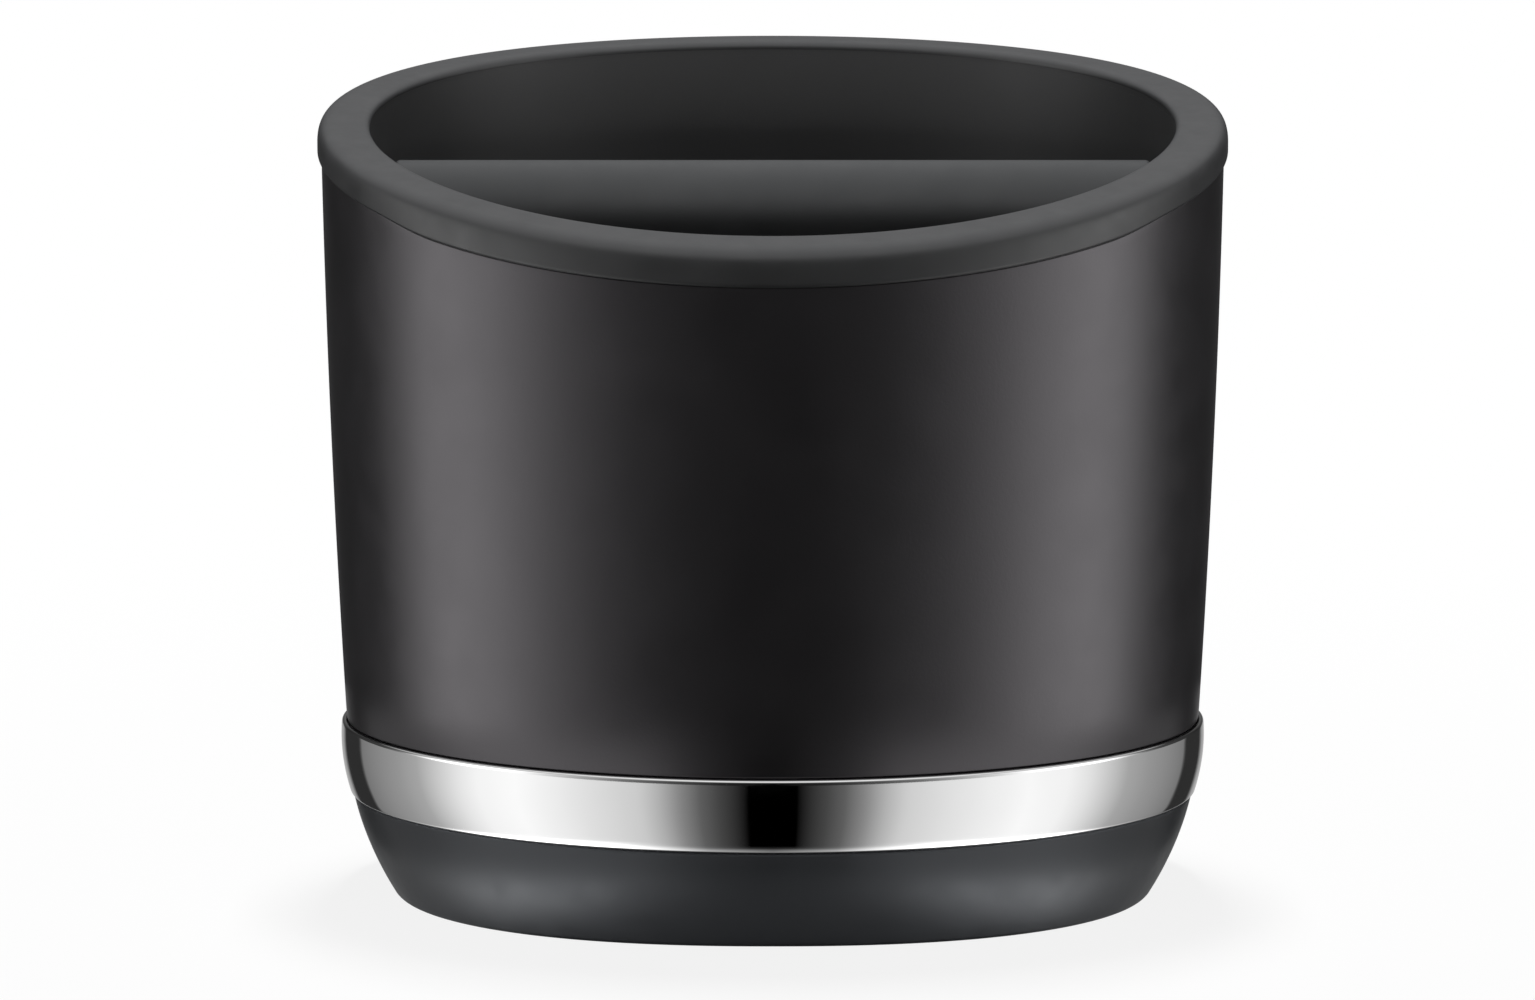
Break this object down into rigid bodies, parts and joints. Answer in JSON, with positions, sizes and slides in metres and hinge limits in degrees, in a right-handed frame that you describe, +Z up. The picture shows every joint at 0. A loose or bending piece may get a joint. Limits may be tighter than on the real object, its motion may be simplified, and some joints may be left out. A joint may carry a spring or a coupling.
{
  "type": "espresso knock box",
  "caption": "Oval bin in a moulded housing, with a sloping soft rim, a steel trim band, a non-slip base and a padded knock bar that lifts out, for spent coffee.",
  "frame": {"origin": "on the table, under the middle of the box", "axes": "+X to the right along the knock bar, -Y towards the user at the low side of the mouth, +Z up"},
  "size_m": [0.1401, 0.127, 0.1276],
  "materials": {
    "rim_rubber": "soft matte",
    "housing_plastic": "satin charcoal",
    "liner_plastic": "matte",
    "polished_steel": "mirror polished",
    "boot_rubber": "soft matte slate",
    "inner_plastic": "moulded",
    "seal_rubber": "matte",
    "screw_steel": "plated",
    "tube_steel": "drawn tube",
    "bar_rubber": "soft matte",
    "plug_plastic": "moulded",
    "saddle_plastic": "moulded",
    "pad_rubber": "matte"
  },
  "bodies": {
    "box": {"rim_bead": "rim_rubber", "outer_housing": "housing_plastic", "inner_liner": "liner_plastic", "steel_band": "polished_steel", "base_boot": "boot_rubber", "base_pan": "inner_plastic", "base_seal": "seal_rubber", "base_screws": "screw_steel", "saddle_right": "saddle_plastic", "saddle_left": "saddle_plastic", "saddle_pad_right": "pad_rubber", "saddle_pad_left": "pad_rubber", "saddle_screws": "screw_steel"},
    "knock_bar": {"bar_core": "tube_steel", "bar_sleeve": "bar_rubber", "bar_plug_right": "plug_plastic", "bar_plug_left": "plug_plastic"}
  },
  "joints": [
    {"name": "bar_lift", "type": "slide", "parent": "box", "child": "knock_bar", "axis": [0, 0, 1], "range_m": [0, 0.045]}
  ]
}
